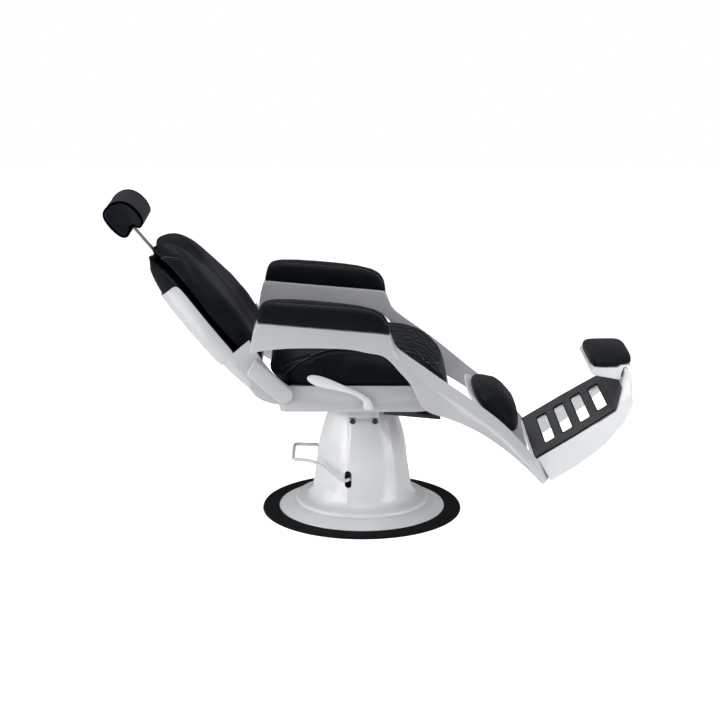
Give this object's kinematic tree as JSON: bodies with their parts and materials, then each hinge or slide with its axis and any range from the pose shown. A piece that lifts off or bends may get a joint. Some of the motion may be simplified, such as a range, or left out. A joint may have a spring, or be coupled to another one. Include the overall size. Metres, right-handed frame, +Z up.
{
  "type": "reclining barber chair",
  "caption": "Reclining barber chair on a hydraulic swivel column, with swept one-piece arm and leg mouldings, adjustable headrest, calf pad and slotted foot plate with a folding heel rest.",
  "frame": {"origin": "floor level, on the axis of the column", "axes": "+Z up, +X towards the sitter's feet, +Y to the sitter's left"},
  "size_m": [1.5399, 0.642, 0.9569],
  "materials": {
    "rubber": "matt",
    "white_metal": "gloss",
    "white_cover": "gloss",
    "white_moulding": "satin gloss",
    "black_upholstery": "fine grain, satin",
    "grey_rubber": "matt",
    "dark_steel": "satin",
    "zinc_steel": "satin",
    "bright_chrome": "polished",
    "bronze": "satin",
    "board": "bare"
  },
  "bodies": {
    "base": {"floor_ring": "rubber", "floor_disc": "white_metal", "cover_front": "white_cover", "cover_rear": "white_cover", "pump_flange": "dark_steel", "pump_bolts": "zinc_steel", "pump_cylinder": "zinc_steel", "guide_bush": "dark_steel", "pump_collar": "dark_steel", "pedal_axles": "zinc_steel", "pump_chamber": "dark_steel"},
    "pedal": {"pump_pedal": "white_metal"},
    "plunger": {"pump_plunger": "zinc_steel"},
    "ram": {"ram": "bright_chrome", "ram_head": "zinc_steel", "thrust_washer": "zinc_steel"},
    "chair": {"swivel_bracket": "zinc_steel", "bracket_bolts": "dark_steel", "chassis_rails": "dark_steel", "leg_bearer": "dark_steel", "seat_tray": "white_metal", "seat_board": "board", "seat_cushion": "black_upholstery", "frame_spacers": "dark_steel", "frame_bolts": "zinc_steel", "side_frame_right": "white_moulding", "side_frame_left": "white_moulding", "arm_pad_right": "black_upholstery", "arm_pad_left": "black_upholstery", "shaft_bushes": "bronze", "gas_bracket": "dark_steel", "gas_pin": "zinc_steel", "lever_bush": "zinc_steel", "calf_bar": "dark_steel", "calf_tray": "white_moulding", "calf_pad": "black_upholstery", "foot_frame": "white_moulding", "foot_mat": "grey_rubber", "heel_pin": "zinc_steel"},
    "gas_cylinder": {"gas_spring": "dark_steel"},
    "gas_rod": {"gas_rod": "bright_chrome"},
    "lever": {"lever_shaft": "zinc_steel", "recline_lever": "white_moulding"},
    "backrest": {"recline_shaft": "zinc_steel", "back_yoke": "white_moulding", "yoke_arms": "white_moulding", "yoke_screws": "zinc_steel", "back_shell": "white_moulding", "back_core": "black_upholstery", "back_cushion": "black_upholstery", "post_guide": "dark_steel"},
    "head_post": {"head_post": "bright_chrome"},
    "headrest": {"head_pin": "zinc_steel", "head_plate": "dark_steel", "head_pad": "black_upholstery"},
    "heel_rest": {"heel_tray": "white_moulding", "heel_pad": "black_upholstery"}
  },
  "joints": [
    {"name": "lift", "type": "slide", "parent": "base", "child": "ram", "axis": [0, 0, 1], "range_m": [0, 0.16]},
    {"name": "swivel", "type": "hinge", "parent": "ram", "child": "chair", "pos_m": [0, 0, 0.35], "axis": [0, 0, 1], "continuous": true},
    {"name": "pedal", "type": "hinge", "parent": "base", "child": "pedal", "pos_m": [0.022, 0, 0.124], "axis": [0, -1, 0], "range_deg": [0, 14], "stiffness_Nm_per_rad": 20, "springref_deg": -8.59},
    {"name": "plunger_slide", "type": "slide", "parent": "base", "child": "plunger", "axis": [0, 0, -1], "range_m": [0, 0.02298]},
    {"name": "recline", "type": "hinge", "parent": "chair", "child": "backrest", "pos_m": [-0.226, 0, 0.423], "axis": [0, 1, 0], "range_deg": [0, 20]},
    {"name": "gas_cylinder_pivot", "type": "hinge", "parent": "chair", "child": "gas_cylinder", "pos_m": [0.025, 0, 0.38828], "axis": [0, -1, 0], "range_deg": [0, 1.2]},
    {"name": "gas_rod_slide", "type": "slide", "parent": "gas_cylinder", "child": "gas_rod", "axis": [-1, 0, 0], "range_m": [0, 0.014]},
    {"name": "release_lever", "type": "hinge", "parent": "chair", "child": "lever", "pos_m": [0.011, 0, 0.388], "axis": [0, 1, 0], "range_deg": [0, 18], "stiffness_Nm_per_rad": 1.5, "springref_deg": -14.32},
    {"name": "headrest_height", "type": "slide", "parent": "backrest", "child": "head_post", "axis": [-0.6428, 0, 0.766], "range_m": [-0.035, 0.07]},
    {"name": "headrest_tilt", "type": "hinge", "parent": "head_post", "child": "headrest", "pos_m": [-0.68901, 0, 0.883], "axis": [0, 1, 0], "range_deg": [-20, 20]},
    {"name": "heel_rest_fold", "type": "hinge", "parent": "chair", "child": "heel_rest", "pos_m": [0.749, 0, 0.437], "axis": [0, -1, 0], "range_deg": [0, 80]}
  ],
  "couplings": [
    {"joint": "plunger_slide", "follows": "pedal", "m_per_rad": 0.092},
    {"joint": "gas_rod_slide", "follows": "recline", "m_per_rad": 0.036743},
    {"joint": "gas_cylinder_pivot", "follows": "recline", "ratio": 0.036827}
  ]
}
